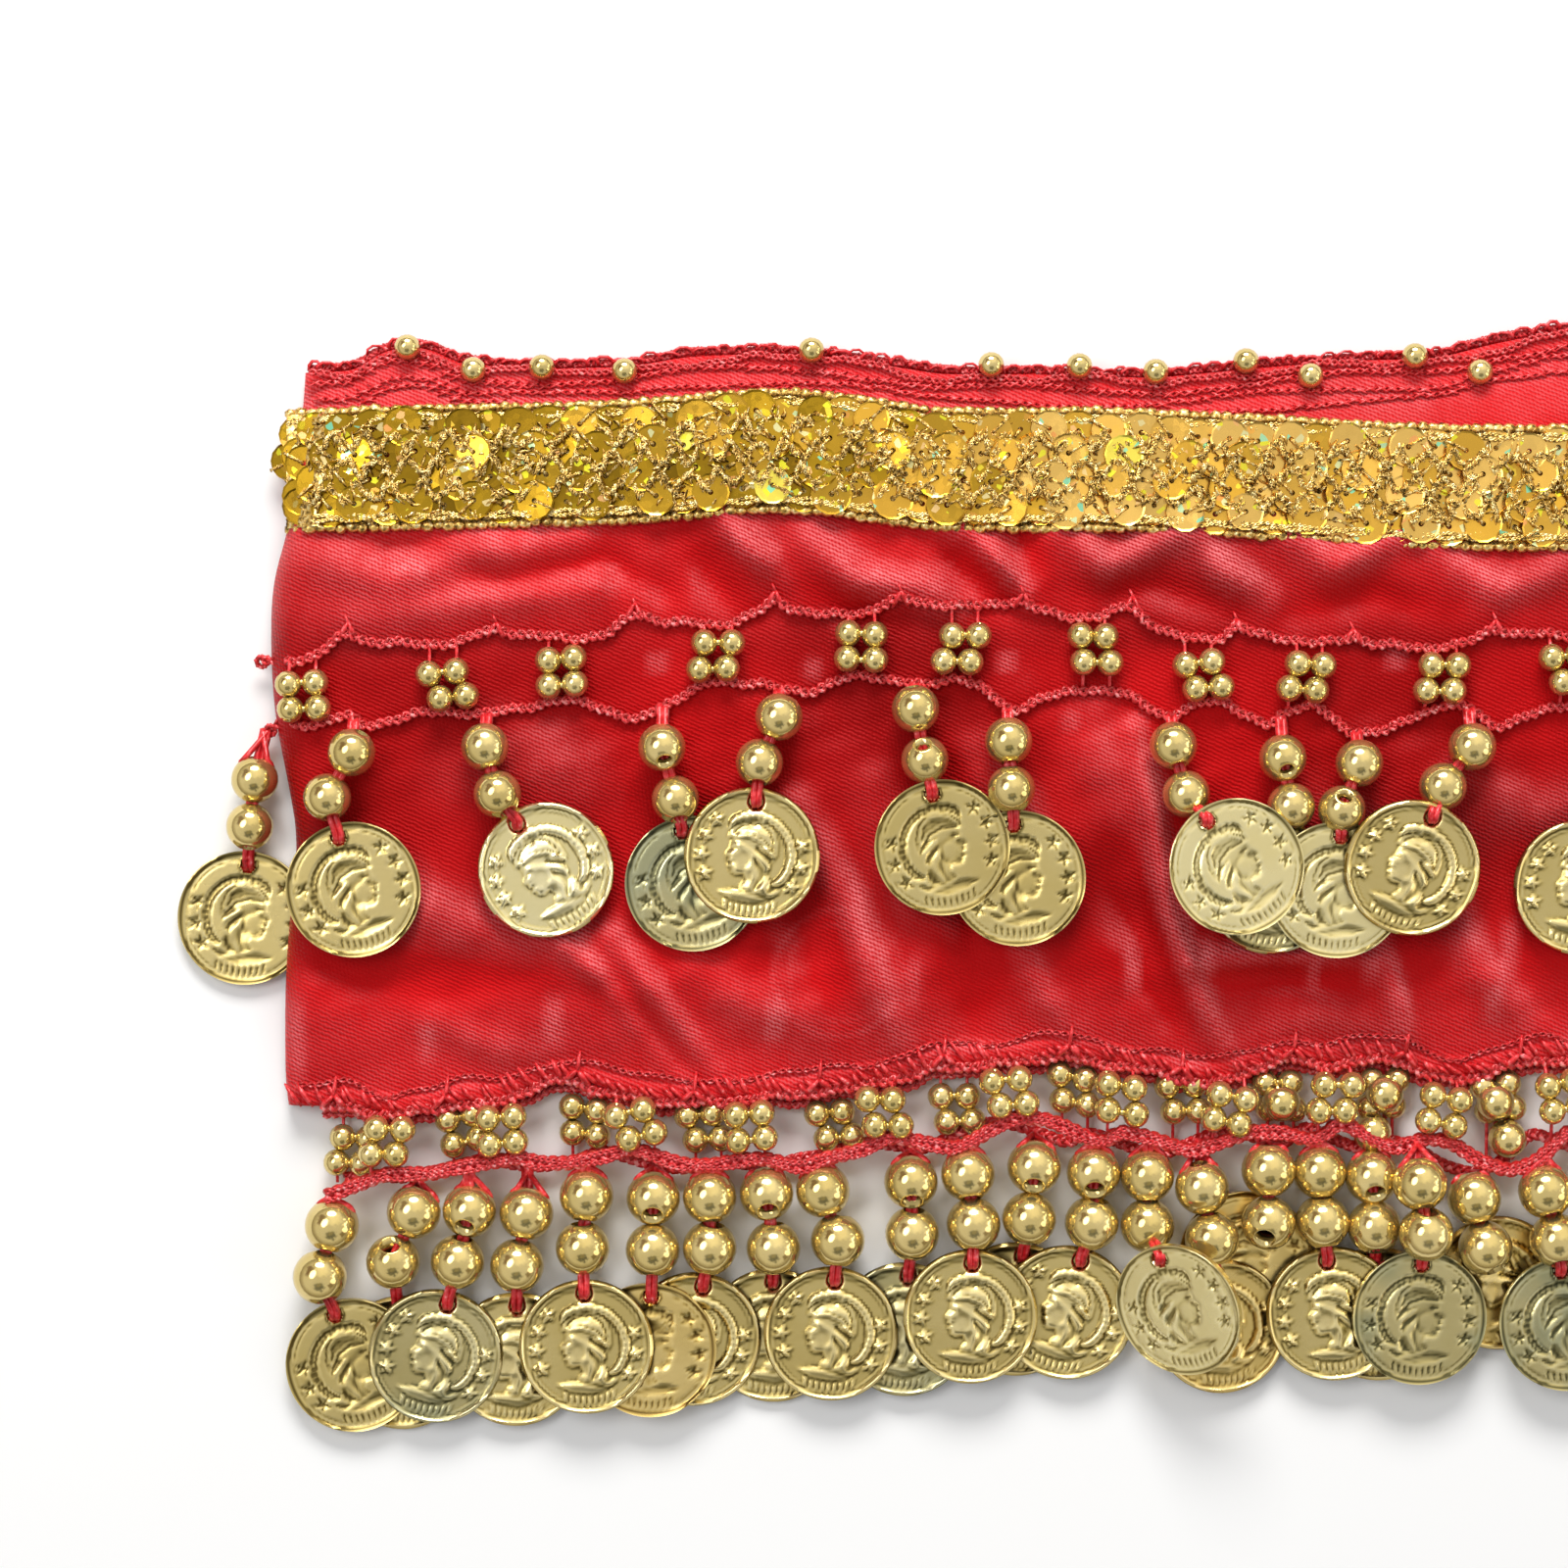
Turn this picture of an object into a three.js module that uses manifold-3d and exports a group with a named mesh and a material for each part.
// Dog belly dance hip scarf, folded in half with its trimmed side out and laid flat on a table.
// Millimetres, +Z up. u runs from the fold at the left along the scarf, v runs up from the hem.
import * as THREE from "three";
import { mergeVertices } from "three/addons/utils/BufferGeometryUtils.js";
import Module from "manifold-3d";

const wasm = await Module();
wasm.setup();

// The cloth
const clothWall = 1.0;
const seamGap = 0.3;
const pileGap = 0.3;
const panelEnd = 262;
const tieEnd = 384;
const edgeHeight = 2.0;
const middleHeight = 5.6;
const foldRadius = 5.5;
const foldLow = 1.4;

// The trims
const bandWidth = 20;
const bandWall = 1.6;
const bandStart = 5.5;
const chainRadius = 0.85;
const hemRollRadius = 0.9;
const frontCordRadius = 1.5;
const backCordRadius = 1.1;
const smallBead = 2.0;
const smallBeadPitch = 4.1;
const bigBead = 4.0;
const threadRadius = 0.55;

// The coins
const coinRadius = 10.6;
const coinThickness = 0.8;
const coinStep = 1.15;
const coinHoleInset = 2.2;

// Edges of the cloth and centre lines of the trims, each row [u, v].
const topEdge = [
  [0, 117.6], [15, 118], [22, 121.5], [30, 118.8], [57, 118.4], [81, 120.6], [107, 117.2],
  [142, 116.8], [173, 119.4], [197, 122], [208, 124.2], [262, 126], [292, 123], [390, 118],
];
const hemEdge = [
  [0, 0.6], [9, 0], [19, -1], [30, 0.9], [47, 4.6], [62, 0.9], [80, 1.9], [101, 4.4], [114, 6.9],
  [128, 8.4], [150, 4.2], [163, 7.8], [181, 7.6], [188, 5], [205, 8], [225, 5], [240, 8], [262, 9],
  [272, 40], [292, 98], [390, 95],
];
const foldEdge = [
  [2.9, 0], [2.4, 17], [2.8, 27], [4.4, 43], [2.8, 52], [0.8, 61], [0.1, 71], [0, 80], [1.4, 88], [2.8, 118],
];
const bandLine = [
  [0, 101.5], [25, 102], [60, 103], [82, 104.6], [107, 102], [135, 101.8], [160, 100.4], [182, 99],
  [208, 98.5], [262, 103],
];
const upperChain = [
  [4, 71.3], [13.3, 76.5], [20, 73.9], [36.7, 76.6], [48, 74.8], [58.8, 79.2], [68, 77], [81.1, 81],
  [92, 78.8], [101.1, 81.2], [113, 79.6], [120.5, 81], [130, 78.3], [138, 80.6], [146, 75],
  [154.4, 77], [166, 74], [173.1, 75.5], [184, 73.4], [195.5, 76.6], [208, 75.2], [217, 77.5],
  [228, 74.5], [238, 77.5], [256, 75],
];
const lowerChain = [
  [4.4, 61.2], [13, 62], [28, 63], [48, 65], [59, 61.8], [71, 67.6], [83, 66.4], [95, 68.6], [105, 67.2],
  [118, 63.6], [131, 66.8], [143, 62.6], [151, 64.6], [160, 60.6], [167, 64.2], [173, 60], [187, 64],
  [195, 60.8], [208, 64.5], [218, 61], [229, 64.5], [239, 61], [256, 64],
];
const frontCord = [
  [10, -14], [19, -10.4], [40, -7.7], [48, -9.1], [58, -6.5], [70, -9.4], [88, -8.2], [99, -5.2],
  [110, -6], [119, -2.1], [133, -5.3], [147, -7.3], [157, -3.6], [165, -5.4], [171, -2.8], [181, -6],
  [197, -10], [208, -3.6], [217, -7], [228, -3.4], [238, -6.8], [256, -4],
];

// Middle of each square of four small beads, along u.
const midGroups = [6.6, 29.1, 47.2, 71.6, 94.8, 110.5, 131.9, 149.1, 165.3, 187, 207, 228, 247];
const frontGroups = [19.2, 37.5, 58.8, 77, 98.4, 118.4, 136.3, 153.4, 170.3, 187.5, 206.6, 227, 246];
const backGroups = [28.4, 48.2, 67.8, 87.6, 108.6, 128, 145.2, 162, 179, 196.8, 216.6, 236.6, 253];

// Single small beads on the top edge, along u.
const edgeBeads = [21, 33, 44, 57, 87, 116, 130, 142, 156.5, 166.5, 183, 193.6, 214, 232, 250];

// Each drop: [top bead u, v, lower bead u, v, coin u, v, coin step, lift of its beads].
const midDrops = [
  [14.1, 56.4, 10.4, 49.2, 14.3, 34.9, 0, 0],
  [35.2, 57.3, 37.4, 49.6, 44.8, 38, 0, 0],
  [62.6, 56.6, 64.6, 48.7, 68.4, 35.2, 0, 0],
  [81.7, 62, 79.4, 54.2, 78.6, 39.9, 1, 0],
  [103.3, 62.6, 104.6, 54.6, 107.2, 41.2, 1, 0],
  [118, 58.4, 119, 50.6, 120.6, 36.6, 0, 0],
  [142.8, 57.6, 144.4, 49.8, 150.6, 37.9, 2, 0],
  [160.4, 55.9, 162.6, 48.2, 160.2, 34.6, 0, 0],
  [173.5, 54.8, 173.2, 46.9, 170.8, 33.2, 1, 0],
  [191.4, 56.1, 188.4, 48.6, 184, 37.4, 2, 0],
  [212.5, 55.9, 211, 48.1, 209, 35.2, 0, 0],
  [231, 56.4, 232, 48.6, 229.4, 37.4, 1, 0],
  [248.6, 57, 250, 49, 247.6, 35.8, 0, 0],
];
const frontDrops = [
  [10.2, -19.6, 8.9, -27.6, 12.3, -41.6, 1, 0],
  [32.2, -16.2, 30.3, -24.2, 28.4, -38.6, 2, 0],
  [50.9, -14.9, 50.3, -22.9, 50.9, -38.2, 3, 0],
  [70.6, -15.2, 70.4, -23.2, 68.4, -38, 1, 0],
  [89.2, -14.2, 90.9, -22.1, 90, -36.8, 2, 0],
  [112.2, -11.8, 112.8, -19.8, 112.3, -34.6, 3, 0],
  [132, -11.2, 131.7, -19.2, 128, -33.2, 1, 0],
  [141, -12.4, 141.6, -20.4, 144.4, -35, 3, 0],
  [167.7, -11, 168.2, -19, 170.2, -33.8, 2, 1.15],
  [184.6, -12.9, 185, -20.9, 184.6, -35.4, 3, 1.15],
  [204, -13.9, 205.4, -21.9, 207.4, -35.9, 3, 1.15],
  [224, -12, 223, -20, 222.4, -34.6, 2, 0],
  [244.6, -12, 243.6, -20, 243, -34.8, 3, 0],
];
const backDrops = [
  [22.2, -17.4, 19.8, -25.2, 20.2, -41.2, 0, 0],
  [41.3, -16.4, 40, -24.4, 39.6, -40, 1, 0],
  [61.4, -14.4, 61, -22.4, 60, -37.4, 2, 0],
  [79.7, -14.8, 80.6, -22.8, 80.4, -37.6, 0, 0],
  [102, -13, 102.2, -21, 101, -35.6, 1, 0],
  [122.4, -10, 121.8, -18.1, 120, -33, 0, 0],
  [150, -13.5, 151.4, -21.5, 153, -35.8, 1, 1.15],
  [159.2, -10.9, 159.6, -18.9, 156.8, -25.4, 0, 1.15],
  [176.2, -11.6, 176.6, -19.6, 177.6, -34, 1, 0],
  [193.6, -15.6, 194.8, -23.6, 197, -29.6, 0, 1.15],
  [214, -12.6, 214, -20.6, 213.6, -35, 1, 0],
  [234.4, -12, 233.4, -20, 233, -34.4, 0, 0],
  [253.6, -12, 253.4, -20, 253.4, -34.6, 1, 0],
];
const foldDrop = [-2.9, 52.4, -3.8, 44.6, -5.2, 30.1, 0, 0];

const red = new THREE.Color(0.62, 0.02, 0.05);
const gold = new THREE.Color(0.8, 0.6, 0.25);
const brass = new THREE.Color(0.75, 0.65, 0.38);

function finish(colour, roughness, metalness) {
  return new THREE.MeshStandardMaterial({ color: colour, roughness: roughness, metalness: metalness });
}

// The value at a place along a table, eased between its rows.
function along(table, place) {
  if (place <= table[0][0]) return table[0][1];
  for (let i = 1; i < table.length; i++) {
    if (place > table[i][0]) continue;
    const share = (place - table[i - 1][0]) / (table[i][0] - table[i - 1][0]);
    const eased = share * share * (3 - 2 * share);
    return table[i - 1][1] + (table[i][1] - table[i - 1][1]) * eased;
  }
  return table[table.length - 1][1];
}

// The fold's u for a height v; its rows are [u, v].
const foldRows = foldEdge.map(([u, v]) => [v, u]);
function foldAt(v) {
  return along(foldRows, v);
}

// Eases from 0 to 1 over a width.
function rise(distance, width) {
  const share = Math.min(Math.max(distance / width, 0), 1);
  return share * share * (3 - 2 * share);
}

// A soft bump around a distance of 0.
function hill(distance, width) {
  return Math.exp(-(distance * distance) / (width * width));
}

// Height of the folded pile under the front layer: thin at its edges, with soft creases.
function pileHeight(u, v) {
  const top = along(topEdge, u);
  const hem = along(hemEdge, u);
  const inner = rise(v - hem, 20) * rise(top - v, 16) * rise(panelEnd + 16 - u, 60);
  const full = edgeHeight + (middleHeight - edgeHeight) * inner;
  const lobes = 0.9 * hill(v - 86, 6) * (0.5 + 0.5 * Math.cos(u / 6.5));
  const ridge = 0.7 * hill(v - 94 + 0.9 * (u - 112), 4) * hill(u - 116, 14);
  const fold = 0.6 * hill(v - 12 - 0.55 * (u - 50), 5) * hill(u - 56, 16);
  return full + (lobes + ridge + fold) * inner;
}

// A closed solid from two matching grids of points, lower and upper, columns by rows.
function betweenGrids(lower, upper, columns, rows) {
  const positions = [...lower, ...upper].flat();
  const half = columns * rows;
  const index = [];
  const quad = (a, b, c, d) => index.push(a, b, c, a, c, d);
  for (let i = 0; i + 1 < columns; i++) {
    for (let j = 0; j + 1 < rows; j++) {
      const a = i * rows + j;
      const b = a + rows;
      quad(a, a + 1, b + 1, b);
      quad(half + a, half + b, half + b + 1, half + a + 1);
    }
  }
  for (let i = 0; i + 1 < columns; i++) {
    const a = i * rows;
    const b = a + rows;
    quad(a, b, half + b, half + a);
    quad(b + rows - 1, a + rows - 1, half + a + rows - 1, half + b + rows - 1);
  }
  for (let j = 0; j + 1 < rows; j++) {
    const a = j;
    const b = (columns - 1) * rows + j;
    quad(a + 1, a, half + a, half + a + 1);
    quad(b, b + 1, half + b + 1, half + b);
  }
  const geometry = new THREE.BufferGeometry();
  geometry.setAttribute("position", new THREE.Float32BufferAttribute(positions, 3));
  geometry.setIndex(index);
  return geometry;
}

// A sheet of even wall above the surface that at(s, t) gives, with s and t from 0 to 1.
function thickSheet(columns, rows, at, wall) {
  const lower = [];
  const upper = [];
  const step = 1e-3;
  for (let i = 0; i < columns; i++) {
    for (let j = 0; j < rows; j++) {
      const s = i / (columns - 1);
      const t = j / (rows - 1);
      const point = at(s, t);
      const sideways = at(s + step, t).sub(at(s - step, t));
      const upwards = at(s, t + step).sub(at(s, t - step));
      const normal = sideways.cross(upwards).normalize();
      lower.push(point.toArray());
      upper.push(point.clone().addScaledVector(normal, wall).toArray());
    }
  }
  return betweenGrids(lower, upper, columns, rows);
}

// A strand through points, with its own radius at each, closed at both ends.
function strand(points, radii, sides) {
  const positions = [];
  const index = [];
  const up = new THREE.Vector3(0, 0, 1);
  points.forEach((point, i) => {
    const before = points[Math.max(i - 1, 0)];
    const after = points[Math.min(i + 1, points.length - 1)];
    const tangent = after.clone().sub(before).normalize();
    const across = tangent.clone().cross(up).normalize();
    const over = across.clone().cross(tangent);
    for (let k = 0; k < sides; k++) {
      const angle = ((k + 0.5) / sides) * 2 * Math.PI;
      const place = point.clone();
      place.addScaledVector(across, radii[i] * Math.cos(angle));
      place.addScaledVector(over, radii[i] * Math.sin(angle));
      positions.push(...place.toArray());
    }
  });
  for (let i = 0; i + 1 < points.length; i++) {
    for (let k = 0; k < sides; k++) {
      const a = i * sides + k;
      const b = i * sides + ((k + 1) % sides);
      index.push(a, b + sides, b, a, a + sides, b + sides);
    }
  }
  const last = (points.length - 1) * sides;
  for (let k = 1; k + 1 < sides; k++) {
    index.push(0, k, k + 1);
    index.push(last, last + k + 1, last + k);
  }
  const geometry = new THREE.BufferGeometry();
  geometry.setAttribute("position", new THREE.Float32BufferAttribute(positions, 3));
  geometry.setIndex(index);
  return geometry;
}

// A geometry as one manifold-3d solid.
function solid(geometry) {
  const bare = geometry.clone();
  bare.deleteAttribute("normal");
  bare.deleteAttribute("uv");
  const merged = mergeVertices(bare, 1e-4);
  return new wasm.Manifold(
    new wasm.Mesh({
      numProp: 3,
      vertProperties: merged.attributes.position.array,
      triVerts: new Uint32Array(merged.index.array),
    }),
  );
}

// Several closed shapes united into one geometry.
function joined(geometries) {
  const whole = geometries.map(solid).reduce((a, b) => a.add(b));
  const mesh = whole.getMesh();
  const geometry = new THREE.BufferGeometry();
  geometry.setAttribute("position", new THREE.BufferAttribute(mesh.vertProperties, 3));
  geometry.setIndex(new THREE.BufferAttribute(mesh.triVerts, 1));
  return geometry;
}

const scarf = new THREE.Group();
function addPiece(name, geometry, material) {
  const mesh = new THREE.Mesh(geometry, material);
  mesh.name = name;
  scarf.add(mesh);
}

// Hidden layers: the back half of the strip with its tie, one soft pile with a flat underside.
const backColumns = 40;
const backRows = 10;
const foldInset = 3.2;
function backPoint(i, j) {
  const t = j / (backRows - 1);
  const guess = foldInset + (tieEnd - 4 - foldInset) * (i / (backColumns - 1));
  const hem = along(hemEdge, guess) + 0.6 - 7 * rise(guess - panelEnd, 30);
  const top = along(topEdge, guess) + 1.4 - 3 * rise(guess - panelEnd, 30);
  const v = hem + (top - hem) * t;
  const u = guess + foldAt(v) * (1 - rise(guess - foldInset, 30));
  return [u, v];
}
const lowerGrid = [];
const upperGrid = [];
for (let i = 0; i < backColumns; i++) {
  for (let j = 0; j < backRows; j++) {
    const [u, v] = backPoint(i, j);
    const roundedFold = rise(u - foldAt(v) - foldInset + 2, foldRadius);
    lowerGrid.push([u, v, 0]);
    upperGrid.push([u, v, 0.8 + (pileHeight(u, v) - 0.8 - pileGap) * roundedFold]);
  }
}
addPiece("back_layers", betweenGrids(lowerGrid, upperGrid, backColumns, backRows), finish(red, 0.85, 0));

// Front layer: it rounds the fold at the left, covers the pile and narrows to a tie at the right.
const foldShare = 0.06;
function frontPoint(s, t) {
  const flat = Math.max(s - foldShare, 0) / (1 - foldShare);
  const turn = Math.min(Math.max(s / foldShare, 0), 1) * (Math.PI / 2);
  const guess = foldRadius + (tieEnd - foldRadius) * flat;
  const hem = along(hemEdge, guess);
  const top = along(topEdge, guess);
  const v = hem + (top - hem) * t;
  const faded = foldAt(v) * (1 - rise(guess - foldRadius, 30));
  const u = guess + faded + clothWall - foldRadius * (1 - Math.sin(turn)) * (s < foldShare ? 1 : 0);
  const over = pileHeight(Math.max(u, foldRadius + faded), v) + seamGap;
  const z = s < foldShare ? over - (over - foldLow) * (1 - Math.sin(turn)) : over;
  return new THREE.Vector3(u, v, z);
}
addPiece("cloth_front", thickSheet(52, 10, frontPoint, clothWall), finish(red, 0.8, 0));

// Height of the front layer's face, where the trims lie.
function faceHeight(u, v) {
  return pileHeight(u, v) + seamGap + clothWall;
}

// The middle of a strand or bead of this radius that lies on the front face.
function onFace(u, v, radius) {
  const reach = [-2, 0, 2].map((step) => faceHeight(u + step, v));
  return new THREE.Vector3(u, v, Math.max(...reach) + seamGap + 0.15 + radius);
}

// Sequin braid: a woven band of gold sequins sewn flat along the cloth, a little below its top edge.
function bandPoint(s, t) {
  const u = bandStart + (panelEnd - 6 - bandStart) * s;
  const v = along(bandLine, u) + (t - 0.5) * bandWidth;
  return new THREE.Vector3(u, v, faceHeight(u, v) + seamGap + 0.25);
}
addPiece("sequin_band", thickSheet(46, 5, bandPoint, bandWall), finish(gold, 0.3, 0.9));

// Even places along u, about one pitch apart.
function places(from, to, pitch) {
  const count = Math.round((to - from) / pitch);
  return Array.from({ length: count + 1 }, (_, i) => from + ((to - from) * i) / count);
}

function even(points, radius) {
  return points.map(() => radius);
}

// Stitched top edge: rows of crochet cord along the cloth's top hem, with single small beads.
const edgePath = places(8, panelEnd - 2, 8).map((u) => onFace(u, along(topEdge, u) - 1.6, 0.7));
const edgeParts = [strand(edgePath, even(edgePath, 0.7), 4)];
for (const u of edgeBeads) {
  const v = along(topEdge, u) - 1.6;
  const low = onFace(u, v - 2.4, smallBead);
  const middle = onFace(u, v - 1, smallBead);
  const high = onFace(u, v + 1.2, smallBead);
  edgeParts.push(strand([low, middle, high], [0.8, smallBead, 0.8], 5));
}
addPiece("top_edging_front", joined(edgeParts), finish(red, 0.7, 0));

// The back half's own stitched top edge, which shows just above the front one.
const backEdgePath = places(8, panelEnd - 2, 6).map(
  (u) => new THREE.Vector3(u, along(topEdge, u) + 1.4 + seamGap + 1.2, 1),
);
addPiece("top_edging_back", strand(backEdgePath, even(backEdgePath, 0.7), 4), finish(red, 0.7, 0));

// Two threaded columns of two small beads, from one chain to the other.
function beadSquare(u, upper, lower, middle, beadHeight) {
  return [-0.5, 0.5].map((side) => {
    const at = u + side * smallBeadPitch;
    const beads = [0.5, -0.5].map((k) => new THREE.Vector3(at, middle + k * smallBeadPitch, beadHeight));
    const between = new THREE.Vector3(at, middle, beadHeight);
    const path = [upper(at), beads[0], between, beads[1], lower(at)];
    return strand(path, [0.45, smallBead, 0.7, smallBead, 0.45], 4);
  });
}

// Crochet net across the middle: an upper and a lower chain with squares of small gold beads.
const upperMid = (u) => onFace(u, along(upperChain, u), chainRadius);
const lowerMid = (u) => onFace(u, along(lowerChain, u), chainRadius);
const upperPath = places(5, 256, 7).map(upperMid);
const lowerPath = places(5, 256, 7).map(lowerMid);
const midParts = [strand(upperPath, even(upperPath, chainRadius), 4)];
midParts.push(strand(lowerPath, even(lowerPath, chainRadius), 4));
for (const u of midGroups) {
  const middle = (along(upperChain, u) + along(lowerChain, u)) / 2;
  midParts.push(...beadSquare(u, upperMid, lowerMid, middle, onFace(u, middle, smallBead).z));
}
addPiece("mid_net", joined(midParts), finish(gold, 0.4, 0.6));

// Front hem net: a whipped roll on the hem, squares of beads, and a thick twisted cord below.
const frontRollAt = (u) => {
  const v = along(hemEdge, u) + 1.6;
  return new THREE.Vector3(u, v, onFace(u, v, hemRollRadius).z);
};
const frontCordAt = (u) => new THREE.Vector3(u, along(frontCord, u), 5.9);
const frontRollPath = places(8, 258, 8).map(frontRollAt);
const frontCordPath = places(10.5, 256, 6).map(frontCordAt);
const frontParts = [strand(frontRollPath, even(frontRollPath, hemRollRadius), 4)];
frontParts.push(strand(frontCordPath, even(frontCordPath, frontCordRadius), 5));
for (const u of frontGroups) {
  const middle = (along(hemEdge, u) + along(frontCord, u)) / 2;
  frontParts.push(...beadSquare(u, frontRollAt, frontCordAt, middle, 6.6));
}
addPiece("hem_net_front", joined(frontParts), finish(gold, 0.4, 0.6));

// Back hem net: the same net on the back half's hem, lying on the table under the front one.
const backRollAt = (u) => new THREE.Vector3(u, along(hemEdge, u) - 1, 1.1);
const backCordAt = (u) => new THREE.Vector3(u, along(frontCord, u + 6) - 0.8, 1.3);
const backRollPath = places(8, 258, 8).map(backRollAt);
const backCordPath = places(12, 256, 6).map(backCordAt);
const backParts = [strand(backRollPath, even(backRollPath, 0.9), 4)];
backParts.push(strand(backCordPath, even(backCordPath, backCordRadius), 4));
for (const u of backGroups) {
  const middle = (along(hemEdge, u) + along(frontCord, u + 6)) / 2 - 0.9;
  backParts.push(...beadSquare(u, backRollAt, backCordAt, middle, 2.1));
}
addPiece("hem_net_back", joined(backParts), finish(gold, 0.4, 0.6));

// The place just below a cord, where a drop's thread leaves it.
function hookBelow(path, u, radius) {
  const next = Math.max(path.findIndex((point) => point.x >= u), 1);
  const before = path[next - 1];
  const share = (u - before.x) / (path[next].x - before.x);
  const hook = before.clone().lerp(path[next], Math.max(share, 0));
  hook.y -= radius + seamGap;
  return hook;
}

// One drop: two large beads on a thread with a coin at its end.
function drop(anchor, top, low, coin) {
  const ends = [anchor, top, low, coin];
  const hole = low.clone().sub(coin).setZ(0).setLength(coinRadius - coinHoleInset);
  const path = [anchor];
  const radii = [threadRadius];
  for (const i of [1, 2]) {
    const into = ends[i].clone().sub(ends[i - 1]).setZ(0).normalize();
    const out = ends[i + 1].clone().sub(ends[i]).setZ(0).normalize();
    path.push(ends[i].clone().addScaledVector(into, -bigBead * 0.92));
    path.push(ends[i].clone().addScaledVector(into, -bigBead * 0.4));
    path.push(ends[i].clone().addScaledVector(out, bigBead * 0.4));
    path.push(ends[i].clone().addScaledVector(out, bigBead * 0.92));
    radii.push(bigBead * 0.4, bigBead * 0.95, bigBead * 0.95, bigBead * 0.4);
  }
  path.push(coin.clone().add(hole));
  radii.push(0.35);
  const disc = new THREE.CylinderGeometry(coinRadius, coinRadius, coinThickness, 12);
  disc.rotateX(Math.PI / 2);
  disc.translate(coin.x, coin.y, coin.z);
  return joined([strand(path, radii, 5), disc]);
}

// Highest point of the front face under a coin.
function faceUnderCoin(u, v) {
  let highest = faceHeight(u, v);
  for (let k = 0; k < 12; k++) {
    const angle = (k / 12) * 2 * Math.PI;
    for (const reach of [0.5, 1]) {
      const x = u + Math.cos(angle) * coinRadius * reach;
      const y = v + Math.sin(angle) * coinRadius * reach;
      highest = Math.max(highest, faceHeight(x, y));
    }
  }
  return highest;
}

// Middle drops: they hang from the lower chain and lie on the front face.
midDrops.forEach(([topU, topV, lowU, lowV, coinU, coinV, step], i) => {
  const hook = hookBelow(lowerPath, topU, chainRadius);
  const top = onFace(topU, topV, bigBead);
  const low = onFace(lowU, lowV, bigBead);
  const base = faceUnderCoin(coinU, coinV) + seamGap + 0.1;
  const coin = new THREE.Vector3(coinU, coinV, base + step * coinStep + coinThickness / 2);
  const name = "mid_drop_" + String(i + 1).padStart(2, "0");
  addPiece(name, drop(hook, top, low, coin), finish(brass, 0.3, 1));
});

// A hem drop lies on the table below its cord.
function tableDrop(row, hook) {
  const [topU, topV, lowU, lowV, coinU, coinV, step, lift] = row;
  const top = new THREE.Vector3(topU, topV, bigBead + lift);
  const low = new THREE.Vector3(lowU, lowV, bigBead + lift);
  const coin = new THREE.Vector3(coinU, coinV, coinThickness / 2 + step * coinStep);
  return drop(hook, top, low, coin);
}

frontDrops.forEach((row, i) => {
  const hook = hookBelow(frontCordPath, row[0], frontCordRadius);
  const name = "hem_drop_front_" + String(i + 1).padStart(2, "0");
  addPiece(name, tableDrop(row, hook), finish(brass, 0.3, 1));
});

backDrops.forEach((row, i) => {
  const hook = hookBelow(backCordPath, row[0], backCordRadius);
  const name = "hem_drop_back_" + String(i + 1).padStart(2, "0");
  addPiece(name, tableDrop(row, hook), finish(brass, 0.3, 1));
});

// Fold drop: the back half's first middle drop, which shows beside the fold.
const foldHook = new THREE.Vector3(-0.9, 60.6, 2.2);
addPiece("fold_drop", tableDrop(foldDrop, foldHook), finish(brass, 0.3, 1));

// The frame's origin is the middle of the part's footprint, on the table.
const box = new THREE.Box3().setFromObject(scarf);
const middle = box.getCenter(new THREE.Vector3());
scarf.position.set(-middle.x, -middle.y, -box.min.z);

export default scarf;
